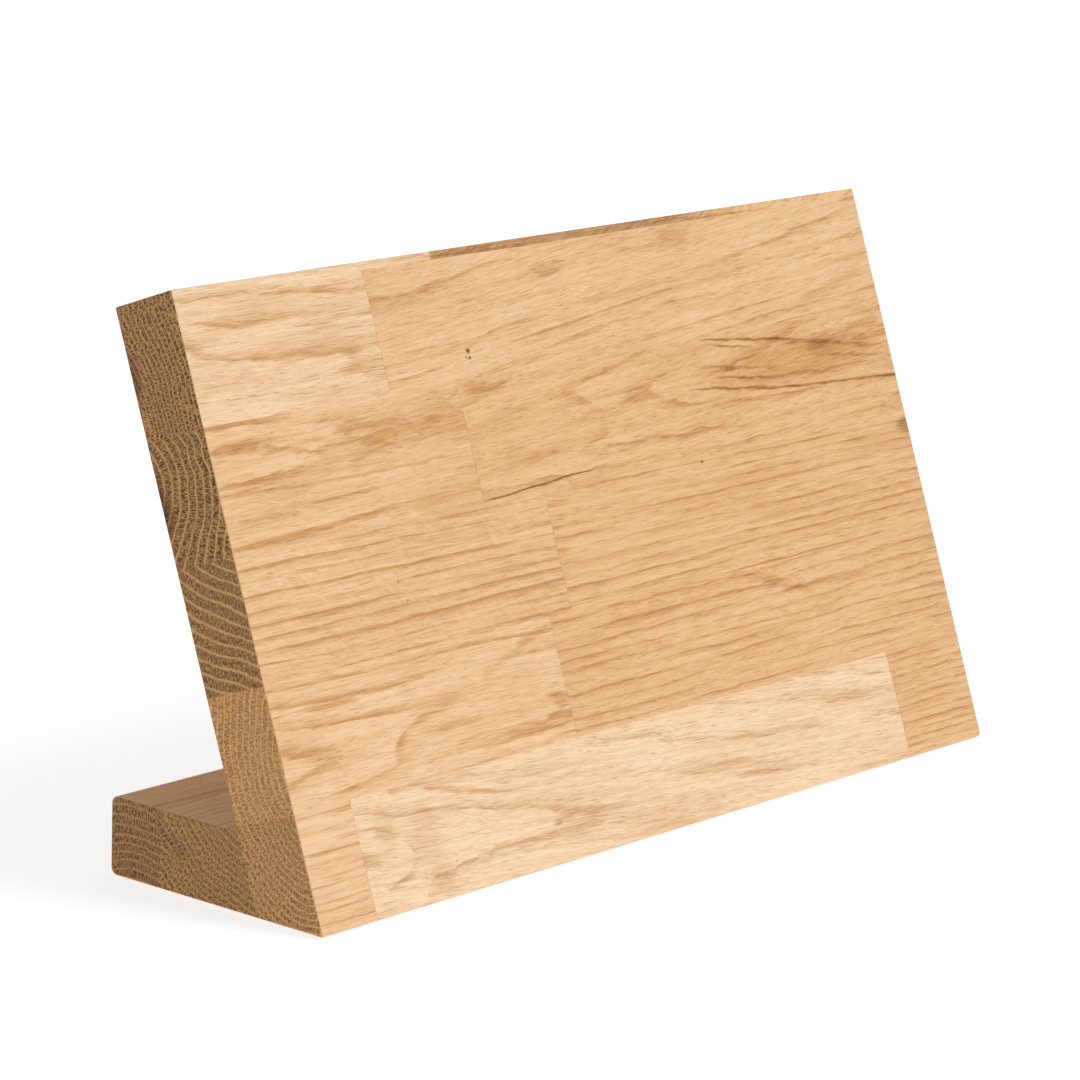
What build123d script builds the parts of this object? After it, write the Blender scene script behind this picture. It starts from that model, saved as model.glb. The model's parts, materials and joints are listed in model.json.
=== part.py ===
from build123d import *
import math
import os

# Free-standing magnetic knife rack: a leaning board of glued oak staves on a flat oak foot, with
# two rows of magnets let in from the back. Sizes are millimetres and degrees.
# While it is drawn, x runs from the left end to the right end as the user sees it, with 0 in the
# middle, y runs from the bottom edge of the front face to the back, and z = 0 is the wooden
# underside. The finished pieces are then set down on their pads with the outline centred.

# Overall shape
rack_width = 400.0
face_length = 235.0  # front face, from its top edge down the slope to the worktop
board_thickness = 30.0
board_lean = 20.0  # back from upright
foot_depth = 107.0  # from the bottom edge of the front face to the back of the foot
foot_thickness = 30.0

# Eased edges
arris_radius = 0.8
foot_back_radius = 3.0
right_toe_radius = 2.0  # lower right corner, eased more than the rest
widest_foot_round = 0.475  # share of the foot's thickness that one rounded edge may take
edge_match = 0.1  # an edge this near a corner of the outline is the one that starts there

# Staves of the glued panel
top_strip_width = 3.3  # the row that was sawn through when the panel was cut to size
stave_width = 46.8
thinnest_strip = 2.0  # less than this at the bottom edge stays part of the row above
foot_rear_stave_width = 25.5

# End-to-end joints in each row of staves, from the left end, or from the right end with a minus.
# A board with more rows than this starts again from the first, and a joint that a narrower rack
# doesn't reach is left out.
board_joints = ((136.0,), (97.8,), (134.0,), (168.0,), (155.0,), (28.75, -49.8))
foot_front_joints = (-114.0,)
foot_rear_joints = (214.0,)

# Magnets, the steel strip behind each row of them, and the groove that holds them
magnet_length = 30.0
magnet_width = 20.0
magnet_thickness = 6.0
magnet_gap = 9.0
magnet_clearance = 0.25
steel_thickness = 2.0
skin_thickness = 2.5  # wood left between the magnets and the knives
groove_end_wood = 15.0  # wood left beyond each end of a groove
upper_groove_from_top = 61.0  # top edge of the board to the upper groove
lower_groove_above_foot = 13.0  # lower groove to the top of the foot, along the back
cover_clearance = 0.1

# Dowels between the board and the foot, square to the back of the board
dowel_diameter = 8.0
dowel_board_depth = 15.0
dowel_foot_depth = 20.0
dowel_height = 17.0  # of a dowel's middle line where it crosses the joint
dowel_clearance = 0.1
dowel_end_gap = 1.0
dowel_chamfer = 1.0
dowel_end_inset = 40.0
dowel_spacing_limit = 65.0
flute_count = 12
flute_radius = 0.5

# Non-slip pads let into the underside
pad_diameter = 12.0
pad_thickness = 2.5
pad_recess = 1.5
pad_clearance = 0.1
pad_edge_radius = 0.3
pad_end_inset = 20.0
front_pad_inset = 14.0  # behind the bottom edge of the front face
rear_pad_inset = 14.0  # in front of the back of the foot

# Worked out from the sizes above
lean = math.radians(board_lean)
half_width = rack_width / 2
face_top = (face_length * math.sin(lean), face_length * math.cos(lean))
back_top = (
    face_top[0] + board_thickness * math.cos(lean),
    face_top[1] - board_thickness * math.sin(lean),
)
inner_corner_y = board_thickness / math.cos(lean) + foot_thickness * math.tan(lean)
back_length = face_length - board_thickness * math.tan(lean)
foot_top_down_back = back_length - foot_thickness / math.cos(lean)
groove_width = magnet_width + 2 * magnet_clearance
groove_length = rack_width - 2 * groove_end_wood
groove_centres = {
    "upper": upper_groove_from_top + groove_width / 2,
    "lower": foot_top_down_back - lower_groove_above_foot - groove_width / 2,
}
steel_length = groove_length - groove_width  # stops short of the groove's round ends
magnet_pitch = magnet_length + magnet_gap
magnet_count = int((steel_length + magnet_gap) // magnet_pitch)
pad_proud = pad_thickness - pad_recess
beyond = 5.0  # how far a cutting block stands past the wood
reach = face_length + foot_depth  # longer than anything in the section

# On this plane x is the rack's x, y is the distance down the slope from the top edge, and z is the
# depth behind the front face.
board_plane = Plane(
    origin=(0, face_top[0], face_top[1]),
    x_dir=(1, 0, 0),
    z_dir=(0, math.cos(lean), -math.sin(lean)),
)


def block(low, high):
    """A box between two opposite corners."""
    size = [b - a for a, b in zip(low, high)]
    middle = [(a + b) / 2 for a, b in zip(low, high)]
    return Pos(*middle) * Box(*size)


def runs_through(edge, points):
    """Whether an edge runs along the rack through one of some (y, z) points."""
    centre = edge.center()
    near = any(math.hypot(centre.Y - y, centre.Z - z) < edge_match for y, z in points)
    return near and abs(centre.X) < half_width / 2


def rack_blank():
    """The rack in one piece with its edges eased, before it is divided into staves."""
    outline = Polyline(
        (0, 0),
        (foot_depth, 0),
        (foot_depth, foot_thickness),
        (inner_corner_y, foot_thickness),
        back_top,
        face_top,
        close=True,
    )
    blank = extrude(make_face(Plane.YZ.offset(-half_width) * outline), amount=rack_width)

    foot_corners = ((foot_depth, 0), (foot_depth, foot_thickness))
    foot_back = [e for e in blank.edges() if runs_through(e, foot_corners)]
    blank = fillet(foot_back, min(foot_back_radius, foot_thickness * widest_foot_round))

    under_right_end = blank.edges().filter_by(Axis.Y).group_by(Axis.Z)[0].group_by(Axis.X)[-1]
    blank = fillet(under_right_end, right_toe_radius)

    left_end, right_end = blank.faces().filter_by(Axis.X).sort_by(Axis.X)
    toe_seam = right_end.edges().group_by(Axis.Z)[0]
    end_edges = left_end.edges() + right_end.edges() - toe_seam
    board_corners = ((0, 0), back_top, face_top)
    board_edges = [e for e in blank.edges() if runs_through(e, board_corners)]
    return fillet(end_edges + board_edges, arris_radius)


def groove(name):
    """The round-ended groove for one row of magnets, open at the back of the board."""
    slot = SlotOverall(groove_length, groove_width)
    depth = board_thickness - skin_thickness + beyond
    return board_plane * Pos(0, groove_centres[name], skin_thickness) * extrude(slot, depth)


def magnet_row(name):
    """One row of block magnets, lying on the thin wood in front of them."""
    first = -(magnet_count - 1) / 2 * magnet_pitch
    middle = skin_thickness + magnet_thickness / 2
    magnets = {}
    for i in range(magnet_count):
        place = Pos(first + i * magnet_pitch, groove_centres[name], middle)
        magnet = Box(magnet_length, magnet_width, magnet_thickness)
        magnet = chamfer(magnet.edges(), magnet_clearance)
        magnets[f"magnet_{name}_{i + 1}"] = board_plane * place * magnet
    return magnets


def steel_strip(name):
    """The flat steel strip that closes the magnets' field behind them."""
    middle = skin_thickness + magnet_thickness + steel_thickness / 2
    strip = Box(steel_length, magnet_width, steel_thickness)
    return board_plane * Pos(0, groove_centres[name], middle) * strip


def groove_cover(name):
    """The oak strip that fills the rest of a groove, flush with the back of the board."""
    front = skin_thickness + magnet_thickness + steel_thickness
    slot = SlotOverall(groove_length - 2 * cover_clearance, groove_width - 2 * cover_clearance)
    strip = extrude(slot, board_thickness - front)
    return board_plane * Pos(0, groove_centres[name], front) * strip


def dowel_places():
    """Where each dowel's middle line crosses the joint between board and foot."""
    span = rack_width - 2 * dowel_end_inset
    gaps = math.ceil(span / dowel_spacing_limit)
    down = back_length - dowel_height / math.cos(lean)
    return [
        board_plane * Pos(-span / 2 + span * i / gaps, down, board_thickness)
        for i in range(gaps + 1)
    ]


def dowel_bore():
    """The hole for one dowel, in the board and the foot alike."""
    length = dowel_board_depth + dowel_foot_depth
    bore = Cylinder(dowel_diameter / 2 + dowel_clearance, length)
    return Pos(0, 0, (dowel_foot_depth - dowel_board_depth) / 2) * bore


def dowel():
    """A fluted dowel, seated in the board and a little short of its hole in the foot."""
    length = dowel_board_depth + dowel_foot_depth - dowel_end_gap
    rod = Cylinder(dowel_diameter / 2, length)
    rod = chamfer(rod.edges().filter_by(GeomType.CIRCLE), dowel_chamfer)
    flutes = PolarLocations(dowel_diameter / 2, flute_count) * Cylinder(flute_radius, length)
    return Pos(0, 0, length / 2 - dowel_board_depth) * (rod - flutes)


def pad_places():
    """Where the centre of each pad stands on the underside."""
    x = half_width - pad_end_inset
    rear_y = foot_depth - rear_pad_inset
    return {
        "pad_front_left": Pos(-x, front_pad_inset, 0),
        "pad_front_right": Pos(x, front_pad_inset, 0),
        "pad_rear_left": Pos(-x, rear_y, 0),
        "pad_rear_right": Pos(x, rear_y, 0),
    }


def pad():
    """A round rubber pad that stands a little proud of its recess."""
    disc = Cylinder(pad_diameter / 2, pad_thickness)
    disc = fillet(disc.edges().group_by(Axis.Z)[0], pad_edge_radius)
    return Pos(0, 0, pad_recess - pad_thickness / 2) * disc


def pad_hole():
    """The recess for one pad."""
    hole = Cylinder(pad_diameter / 2 + pad_clearance, pad_recess + beyond)
    return Pos(0, 0, (pad_recess - beyond) / 2) * hole


def lengths_between(joints):
    """The ends of each piece in a row, from the row's end-to-end joints."""
    placed = [joint - half_width if joint > 0 else joint + half_width for joint in joints]
    inner = sorted(x for x in placed if abs(x) < half_width - thinnest_strip)
    cuts = [-half_width - beyond, *inner, half_width + beyond]
    return list(zip(cuts, cuts[1:]))


def along_names(count):
    """Names for the one to three pieces of a row, from the left."""
    return {1: ["whole"], 2: ["left", "right"], 3: ["left", "middle", "right"]}[count]


def board_staves(board):
    """The board divided into rows of staves from the top strip down."""
    edges = [-beyond, top_strip_width]
    while edges[-1] + stave_width < face_length - thinnest_strip:
        edges.append(edges[-1] + stave_width)
    edges.append(reach)
    staves = {}
    for row, (top, bottom) in enumerate(zip(edges, edges[1:])):
        spans = lengths_between(board_joints[row % len(board_joints)])
        row_name = "top_strip" if row == 0 else f"board_stave_{row}"
        for (start, end), side in zip(spans, along_names(len(spans))):
            cutter = block((start, top, -beyond), (end, bottom, board_thickness + beyond))
            staves[f"{row_name}_{side}"] = board & (board_plane * cutter)
    return staves


def foot_staves(foot):
    """The foot divided into a front row, against the board, and a rear row."""
    seam = foot_depth - foot_rear_stave_width
    rows = {
        "foot_front": (0, seam, foot_front_joints),
        "foot_rear": (seam, foot_depth + beyond, foot_rear_joints),
    }
    staves = {}
    for row_name, (front, back, joints) in rows.items():
        spans = lengths_between(joints)
        for (start, end), side in zip(spans, along_names(len(spans))):
            cutter = block((start, front, -beyond), (end, back, foot_thickness + beyond))
            staves[f"{row_name}_{side}"] = foot & cutter
    return staves


def all_pieces():
    """Every piece of the rack by name, where it was drawn."""
    blank = rack_blank()
    ahead_of_back = block((-reach, -reach, -beyond), (reach, reach, board_thickness))
    board = blank & (board_plane * ahead_of_back)
    foot = blank - board_plane * ahead_of_back

    board = board - [groove(name) for name in groove_centres]
    bores = [place * dowel_bore() for place in dowel_places()]
    holes = [place * pad_hole() for place in pad_places().values()]
    board = board - bores - holes
    foot = foot - bores - holes

    pieces = {**board_staves(board), **foot_staves(foot)}
    for name in groove_centres:
        pieces.update(magnet_row(name))
        pieces[f"steel_strip_{name}"] = steel_strip(name)
        pieces[f"groove_cover_{name}"] = groove_cover(name)
    for i, place in enumerate(dowel_places()):
        pieces[f"foot_dowel_{i + 1}"] = place * dowel()
    for name, place in pad_places().items():
        pieces[name] = place * pad()
    return pieces, blank.bounding_box().center().Y


def main():
    """Writes every piece, centred from front to back and standing on its pads."""
    os.makedirs("parts", exist_ok=True)
    pieces, middle_y = all_pieces()
    for name, piece in pieces.items():
        solid = Pos(0, -middle_y, pad_proud) * piece.solid()
        solid.label = name
        export_step(solid, f"parts/{name}.step")
    print(len(pieces), "pieces")


main()
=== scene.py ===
"""Looks of a free-standing magnetic knife rack: a leaning oak board on a flat oak foot."""

import json
import logging
import math
from dataclasses import dataclass
from enum import Enum
from typing import Any, Sequence, Union

import bmesh
import bpy
from mathutils import Euler, Matrix, Vector


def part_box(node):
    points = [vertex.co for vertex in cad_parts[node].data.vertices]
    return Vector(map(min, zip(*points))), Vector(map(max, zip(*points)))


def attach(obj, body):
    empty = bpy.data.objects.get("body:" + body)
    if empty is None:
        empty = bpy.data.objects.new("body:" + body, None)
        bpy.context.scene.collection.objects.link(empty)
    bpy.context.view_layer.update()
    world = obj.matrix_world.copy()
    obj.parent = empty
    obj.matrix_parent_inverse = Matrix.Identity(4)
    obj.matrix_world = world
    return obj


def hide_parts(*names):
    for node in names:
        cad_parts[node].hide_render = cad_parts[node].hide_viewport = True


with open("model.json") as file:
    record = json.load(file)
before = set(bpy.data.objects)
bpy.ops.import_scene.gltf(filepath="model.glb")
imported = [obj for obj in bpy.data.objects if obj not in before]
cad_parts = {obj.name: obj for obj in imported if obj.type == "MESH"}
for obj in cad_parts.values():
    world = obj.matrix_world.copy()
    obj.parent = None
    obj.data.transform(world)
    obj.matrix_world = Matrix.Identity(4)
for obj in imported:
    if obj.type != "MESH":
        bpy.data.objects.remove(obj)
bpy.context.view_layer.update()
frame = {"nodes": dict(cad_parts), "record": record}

LOG = logging.getLogger("knife_rack")
MM = 0.001
BODY = "root"
KNIFE_FACE = next(m for m in frame["record"]["mounts"] if m["name"] == "knife_face")
LEAN = math.atan2(KNIFE_FACE["axis"][2], -KNIFE_FACE["axis"][1])

Number = Union["Value", float]
Colour = tuple[float, float, float]


def from_srgb(red: int, green: int, blue: int) -> Colour:
    """A linear colour from the values of a paint chart.

    Args:
        red: From 0 to 255.
        green: The same.
        blue: The same.

    Returns:
        Its three parts, each from 0 to 1.
    """

    def channel(value: int) -> float:
        """One part made linear, by the sRGB standard's own formula."""
        v = value / 255
        return v / 12.92 if v <= 0.04045 else ((v + 0.055) / 1.055) ** 2.4

    return channel(red), channel(green), channel(blue)


class Value:
    """A shader socket that takes part in sums, so a pattern can be written as a formula."""

    def __init__(self, shader: "Shader", socket: bpy.types.NodeSocket) -> None:
        """Wraps one output socket of a shader's node."""
        self.shader = shader
        self.socket = socket

    def __add__(self, other: Number) -> "Value":
        """This value plus another."""
        return self.shader.maths("ADD", self, other)

    def __sub__(self, other: Number) -> "Value":
        """This value less another."""
        return self.shader.maths("SUBTRACT", self, other)

    def __mul__(self, other: Number) -> "Value":
        """This value times another."""
        return self.shader.maths("MULTIPLY", self, other)

    def __truediv__(self, other: Number) -> "Value":
        """This value divided by another."""
        return self.shader.maths("DIVIDE", self, other)

    def __pow__(self, other: Number) -> "Value":
        """This value to a power."""
        return self.shader.maths("POWER", self, other)

    def __radd__(self, other: Number) -> "Value":
        """Another value plus this one."""
        return self.shader.maths("ADD", other, self)

    def __rsub__(self, other: Number) -> "Value":
        """Another value less this one."""
        return self.shader.maths("SUBTRACT", other, self)

    def __rmul__(self, other: Number) -> "Value":
        """Another value times this one."""
        return self.shader.maths("MULTIPLY", other, self)

    def __rtruediv__(self, other: Number) -> "Value":
        """Another value divided by this one."""
        return self.shader.maths("DIVIDE", other, self)

    def __abs__(self) -> "Value":
        """The size of this value, whatever its sign."""
        return self.shader.maths("ABSOLUTE", self)


class Shader:
    """One material and the nodes that are added to it."""

    def __init__(self, name: str) -> None:
        """Starts an empty material.

        Args:
            name: The material's name.
        """
        self.material = bpy.data.materials.new(name)
        self.material.use_nodes = True
        self.tree = self.material.node_tree
        self.tree.nodes.clear()

    def node(
        self,
        kind: str,
        settings: dict[str, Any] | None = None,
        inputs: dict[str | int, Any] | None = None,
        output: str | int = 0,
    ) -> Value:
        """Adds any node.

        Args:
            kind: The node's type, such as ShaderNodeTexNoise.
            settings: What is set on the node before its sockets are filled, such as a Math
                node's operation.
            inputs: A value or a Value for each socket, by name or number.
            output: The output to hand back.

        Returns:
            The chosen output, ready for sums.
        """
        made = self.tree.nodes.new(kind)
        for key, value in (settings or {}).items():
            setattr(made, key, value)
        for key, value in (inputs or {}).items():
            socket = made.inputs[key]
            if isinstance(value, Value):
                self.tree.links.new(value.socket, socket)
            else:
                socket.default_value = value
        return Value(self, made.outputs[output])

    def maths(self, operation: str, *values: Number) -> Value:
        """A Math node on one to three values."""
        return self.node("ShaderNodeMath", {"operation": operation}, dict(enumerate(values)))

    def clamp(self, value: Value) -> Value:
        """The value held between 0 and 1."""
        return self.node("ShaderNodeClamp", {}, {"Value": value})

    def ramp(self, value: Value, low: float, high: float) -> Value:
        """A soft step.

        Args:
            value: What is stepped.
            low: Where the step starts from 0.
            high: Where it reaches 1. With high below low it falls instead.

        Returns:
            A value from 0 to 1.
        """
        inputs = {"Value": value, "From Min": min(low, high), "From Max": max(low, high)}
        rising = self.node("ShaderNodeMapRange", {"interpolation_type": "SMOOTHSTEP"}, inputs)
        return rising if high >= low else 1.0 - rising

    def split(self, vector: Value) -> tuple[Value, Value, Value]:
        """A vector's three parts."""
        parts = self.node("ShaderNodeSeparateXYZ", {}, {"Vector": vector})
        outputs = parts.socket.node.outputs
        return Value(self, outputs[0]), Value(self, outputs[1]), Value(self, outputs[2])

    def join(self, x: Number, y: Number, z: Number) -> Value:
        """A vector from three parts."""
        return self.node("ShaderNodeCombineXYZ", {}, {"X": x, "Y": y, "Z": z})

    def placed(self, coordinates: Value, turn: Euler, shift: Vector) -> Value:
        """Coordinates in millimetres, turned and then moved.

        Args:
            coordinates: Object coordinates, in metres.
            turn: How the pattern is turned on the piece.
            shift: How far it is then moved, in millimetres.

        Returns:
            The new coordinates.
        """
        inputs = {
            "Vector": coordinates,
            "Location": shift,
            "Rotation": turn,
            "Scale": (1 / MM, 1 / MM, 1 / MM),
        }
        return self.node("ShaderNodeMapping", {"vector_type": "POINT"}, inputs)

    def noise(
        self,
        place: Value,
        scale: float,
        detail: float = 2.0,
        rough: float = 0.5,
        output: str = "Fac",
    ) -> Value:
        """Smooth noise from 0 to 1 about a half.

        Args:
            place: Where it is read.
            scale: How many waves go in one unit.
            detail: How many finer layers are added.
            rough: How strong the finer layers are.
            output: Fac for one number, or Color for three that differ.

        Returns:
            The noise.
        """
        inputs = {"Vector": place, "Scale": scale, "Detail": detail, "Roughness": rough}
        return self.node("ShaderNodeTexNoise", {"noise_dimensions": "3D"}, inputs, output)

    def mix(self, factor: Number, first: Any, second: Any, blend: str = "MIX") -> Value:
        """A mix of two colours.

        Args:
            factor: 0 for the first, 1 for the second.
            first: A colour or a Value that carries one.
            second: The same.
            blend: The Mix node's blend type.

        Returns:
            The mixed colour.
        """
        settings = {"data_type": "RGBA", "blend_type": blend, "clamp_factor": True}
        first = first if isinstance(first, Value) else (*first, 1.0)
        second = second if isinstance(second, Value) else (*second, 1.0)
        return self.node("ShaderNodeMix", settings, {0: factor, 6: first, 7: second}, 2)

    def stained(self, depth: Value, colour: Value, stain: Colour) -> Value:
        """Darkens a colour with a stain that lets the grain show through.

        Args:
            depth: How strong the stain is, from 0 to 1.
            colour: The wood's colour.
            stain: How much of each part of the light the stain lets through.

        Returns:
            The stained colour.
        """
        return self.mix(depth, colour, stain, "MULTIPLY")

    def finish(self, **inputs: Any) -> bpy.types.Material:
        """Ends the material in a Principled surface.

        Args:
            inputs: The surface's sockets, with _ for a space in a name.

        Returns:
            The material.
        """
        sockets = {name.replace("_", " "): value for name, value in inputs.items()}
        surface = self.node("ShaderNodeBsdfPrincipled", {}, sockets)
        end = self.tree.nodes.new("ShaderNodeOutputMaterial")
        self.tree.links.new(surface.socket, end.inputs["Surface"])
        return self.material


WHITEST = 0.95  # no paint or wood gives back more of the light


class Tone(Enum):
    """How dark a stave's oak is, as the colour of its planed face."""

    CREAM = (222, 189, 151)
    PALE = (218, 182, 141)
    HONEY = (216, 176, 132)
    WARM = (213, 172, 127)
    TAN = (210, 167, 120)

    def tinted(self, red: float, green: float, blue: float) -> Colour:
        """The tone with each part of its colour scaled.

        Args:
            red: What the red part is scaled by.
            green: The same for green.
            blue: The same for blue.

        Returns:
            A linear colour.
        """
        parts = zip(from_srgb(*self.value), (red, green, blue))
        r, g, b = (min(WHITEST, part * scale) for part, scale in parts)
        return r, g, b


# The sawn end's colours.
END_MIDDLE = from_srgb(174, 130, 82)
END_DARK = from_srgb(80, 47, 18)
END_LIGHT = from_srgb(218, 172, 118)
# How much of each part of the light a stain lets through.
STAIN = (0.48, 0.33, 0.15)
DARK_STAIN = (0.28, 0.16, 0.05)
FAINT_STAIN = (0.79, 0.66, 0.48)
GOLD_STAIN = (0.84, 0.74, 0.56)
TAWNY_STAIN = (0.66, 0.54, 0.40)
RUSSET_STAIN = (0.66, 0.50, 0.38)
STRIP_STAIN = (0.66, 0.57, 0.50)
FOOT_STAIN = (0.55, 0.48, 0.42)
BACK_STAIN = (0.52, 0.40, 0.38)
DEEP_BACK_STAIN = (0.42, 0.32, 0.32)
# How a streak and a knot fade.
STREAK_FADE_IN = (0.0, 0.15)  # shares of a streak's length
STREAK_FADE_OUT = (1.0, 0.7)
KNOT_CORE = 0.35  # share of a knot's radius that is stained all through


@dataclass(frozen=True)
class Streak:
    """A stained line on a stave, from one point to another.

    On the face, points are millimetres from the board's left end and below its top edge. On
    the sawn end, they are millimetres behind the face and below the top edge.
    """

    start: tuple[float, float]
    end: tuple[float, float]
    half_width: float
    strength: float
    wobble: float = 2.0
    stain: Colour = STAIN

    def strength_at(self, s: Shader, across: Value, down: Value, waver: Value) -> Value:
        """How strong the stain is at a point.

        Args:
            s: The shader.
            across: The point's first coordinate.
            down: The point's second coordinate.
            waver: Noise from -0.5 to 0.5 that bends the line.

        Returns:
            A value from 0 to 1.
        """
        run = Vector(self.end) - Vector(self.start)
        along_x, along_y = run.normalized()
        from_x, from_y = across - self.start[0], down - self.start[1]
        along = (from_x * along_x + from_y * along_y) / run.length
        aside = from_y * along_x - from_x * along_y + waver * (2 * self.wobble)
        ends = s.ramp(along, *STREAK_FADE_IN) * s.ramp(along, *STREAK_FADE_OUT)
        return s.ramp(abs(aside), self.half_width, 0.0) * ends * self.strength


@dataclass(frozen=True)
class Knot:
    """A small dark knot or patch, placed as a streak's points are."""

    centre: tuple[float, float]
    radius: float
    strength: float
    stretch: float = 1.0
    stain: Colour = STAIN

    def strength_at(self, s: Shader, across: Value, down: Value, waver: Value) -> Value:
        """How strong the stain is at a point.

        Args:
            s: The shader.
            across: The point's first coordinate.
            down: The point's second coordinate.
            waver: Noise from -0.5 to 0.5 that makes the rim uneven.

        Returns:
            A value from 0 to 1.
        """
        from_x = (across - self.centre[0]) / self.stretch
        from_y = down - self.centre[1]
        out = (from_x * from_x + from_y * from_y) ** 0.5 + waver * self.radius
        return s.ramp(out, self.radius, self.radius * KNOT_CORE) * self.strength


@dataclass(frozen=True)
class Swell:
    """A bulge in the growth rings, which a planed face cuts as a flame or an oval.

    Its sizes are in millimetres, with the length along the stave.
    """

    centre: tuple[float, float]
    length: float
    width: float
    height: float

    def lift(self, s: Shader, across: Value, down: Value) -> Value:
        """How far the rings are moved outwards at a point.

        Args:
            s: The shader.
            across: Millimetres from the panel's left end.
            down: Millimetres below its edge.

        Returns:
            The bulge's height there, in millimetres.
        """
        from_x = (across - self.centre[0]) / self.length
        from_y = (down - self.centre[1]) / self.width
        return s.ramp(from_x * from_x + from_y * from_y, 1.0, 0.0) * self.height


@dataclass(frozen=True)
class PanelEdge:
    """The long edge that a panel's distances are measured from, and how the panel stands.

    Its places are in millimetres and its lean is in radians.
    """

    left: float
    y: float
    z: float
    lean: float

    def distances(self, point: Vector) -> tuple[float, float]:
        """How far a point is behind the panel's face and below its edge, in millimetres."""
        turned = Matrix.Rotation(self.lean, 3, "X") @ (point - Vector((self.left, self.y, self.z)))
        return turned.y, -turned.z

    def flattened(self, s: Shader, coordinates: Value) -> Value:
        """Coordinates on the flat panel.

        Args:
            s: The shader.
            coordinates: Object coordinates, in metres.

        Returns:
            Millimetres across from the panel's left end, behind its face and below its edge.
        """
        turn = Euler((self.lean, 0.0, 0.0))
        shift = -(turn.to_matrix() @ Vector((self.left, self.y, self.z)))
        turned = s.placed(coordinates, turn, shift)
        across, behind, up = s.split(turned)
        return s.join(across, behind, up * -1.0)


@dataclass(frozen=True)
class Waves:
    """Noise as wood has it, with a factor for each direction that stretches or tightens it."""

    stretch: tuple[float, float, float]
    scale: float
    detail: float = 2.0
    rough: float = 0.5

    def read(
        self,
        s: Shader,
        place: Sequence[Number],
        shift: Sequence[float] = (0.0, 0.0, 0.0),
        output: str = "Fac",
    ) -> Value:
        """Reads the noise.

        Args:
            s: The shader.
            place: Millimetres along the stave and in two directions across it.
            shift: Where in the noise it starts.
            output: The noise's output to hand back.

        Returns:
            Values from 0 to 1 about a half.
        """
        parts = []
        for part, factor, move in zip(place, self.stretch, shift):
            scaled = part if factor == 1.0 else part * factor
            parts.append(scaled + move if move else scaled)
        return s.noise(s.join(*parts), self.scale, self.detail, self.rough, output)


# What the tree's growth does to the rings.
LONG_BEND = Waves((0.12, 0.7, 1.0), 0.035, 1.0)
LONG_BEND_SIZE = (4.0, 5.0)
SHORT_BEND = Waves((0.45, 1.0, 1.0), 0.07)
RIPPLE = Waves((0.08, 1.0, 1.0), 0.55, rough=0.6)
FACE_RIPPLE = 0.45
END_RIPPLE = 0.85
SWELL_DEPTH = (26.0, 4.0)  # millimetres behind the face over which a swell comes up
RING_LUCK = 1.2
RING_STRENGTH = Waves((0.06, 1.0, 1.0), 0.3, 3.0)
WEAK_TO_STRONG = (0.32, 0.65)
WEAK_TO_STRONG_EDGE = (0.32, 0.68)
# Parts of one ring, as shares of the gap from its first wood to the next ring's.
EARLY_WOOD = (0.62, 0.0)
EARLY_WOOD_START = (0.94, 1.0)
RING_EDGE = (0.24, 0.03)
RING_EDGE_START = (0.93, 1.0)
# What lies in the wood between the rings.
STREAKS = Waves((0.022, 1.0, 1.0), 0.42)
FIBRES = Waves((0.028, 1.0, 1.0), 2.7, 3.0, 0.72)
BLOTCHES = Waves((0.2, 1.0, 1.0), 0.05, 3.0)
DASHES = Waves((0.03, 1.0, 1.0), 3.0, 1.5)
CELLS = Waves((1.0, 1.85, 0.65), 1.0, 2.0, 0.6)
CELL_WALL = (0.45, 0.57)
RAYS = Waves((0.1, 1.3, 0.05), 1.0, 1.0)
RAY_EDGE = (0.63, 0.70)
CROSS_ACROSS = (0.4, 0.8)  # how fast the cross figure changes along the stave and across it
CROSS_ALONG = (0.1, 0.05)
CROSS_DEPTH = 0.2
END_FACING = (0.55, 0.85)  # how square to the stave a surface is where the sawn end begins


@dataclass(frozen=True)
class Growth:
    """The patterns that run all through a stave, each from 0 to 1.

    Attributes:
        early: The open wood at the start of each ring.
        edge: The line where a ring begins.
        streak: Broad streaks along the stave.
        fibre: Fine fibres along it.
        blotch: Clouds of darker wood.
        dash: Noise that the face's pores are cut from.
        chains: The sawn end's rows of pores.
        ray: The sawn end's rays, which run out from the pith.
        part: How far through its ring a point is.
        cross: A figure that slants over the grain.
    """

    early: Value
    edge: Value
    streak: Value
    fibre: Value
    blotch: Value
    dash: Value
    chains: Value
    ray: Value
    part: Value
    cross: Value


@dataclass(frozen=True)
class PlanedFace:
    """How a planed face shows the growth: its three tints, and what each pattern adds."""

    light: Colour = (1.14, 1.22, 1.34)
    dark: Colour = (0.82, 0.68, 0.50)
    pore: Colour = (0.62, 0.46, 0.30)
    shade: float = 0.30
    ring: float = 0.28
    streak: float = 0.95
    fibre: float = 2.1
    blotch: float = 0.8
    early_pores: float = 0.08
    edge_pores: float = 0.06
    pore_edge: tuple[float, float] = (0.60, 0.76)
    pore_strength: float = 0.62

    def build(self, s: Shader, growth: Growth, oak: "Oak") -> tuple[Value, Value]:
        """Builds the face.

        Args:
            s: The shader.
            growth: The stave's growth.
            oak: The stave's own oak.

        Returns:
            Its colour, and how deep its pores are cut.
        """
        light, dark, pore = (oak.tone.tinted(*tint) for tint in (self.light, self.dark, self.pore))
        shade = (
            self.shade
            + growth.early * (self.ring * oak.contrast)
            + growth.edge * (self.ring * oak.contrast)
            + (growth.streak - 0.5) * self.streak
            + (growth.fibre - 0.5) * self.fibre
            + (growth.blotch - 0.5) * self.blotch
            + (growth.cross - 0.5) * oak.cross_figure
        )
        colour = s.mix(s.clamp(shade), light, dark)
        crowded = growth.dash + growth.early * self.early_pores + growth.edge * self.edge_pores
        pores = s.ramp(crowded, *self.pore_edge)
        return s.mix(pores * self.pore_strength, colour, pore), pores


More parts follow.
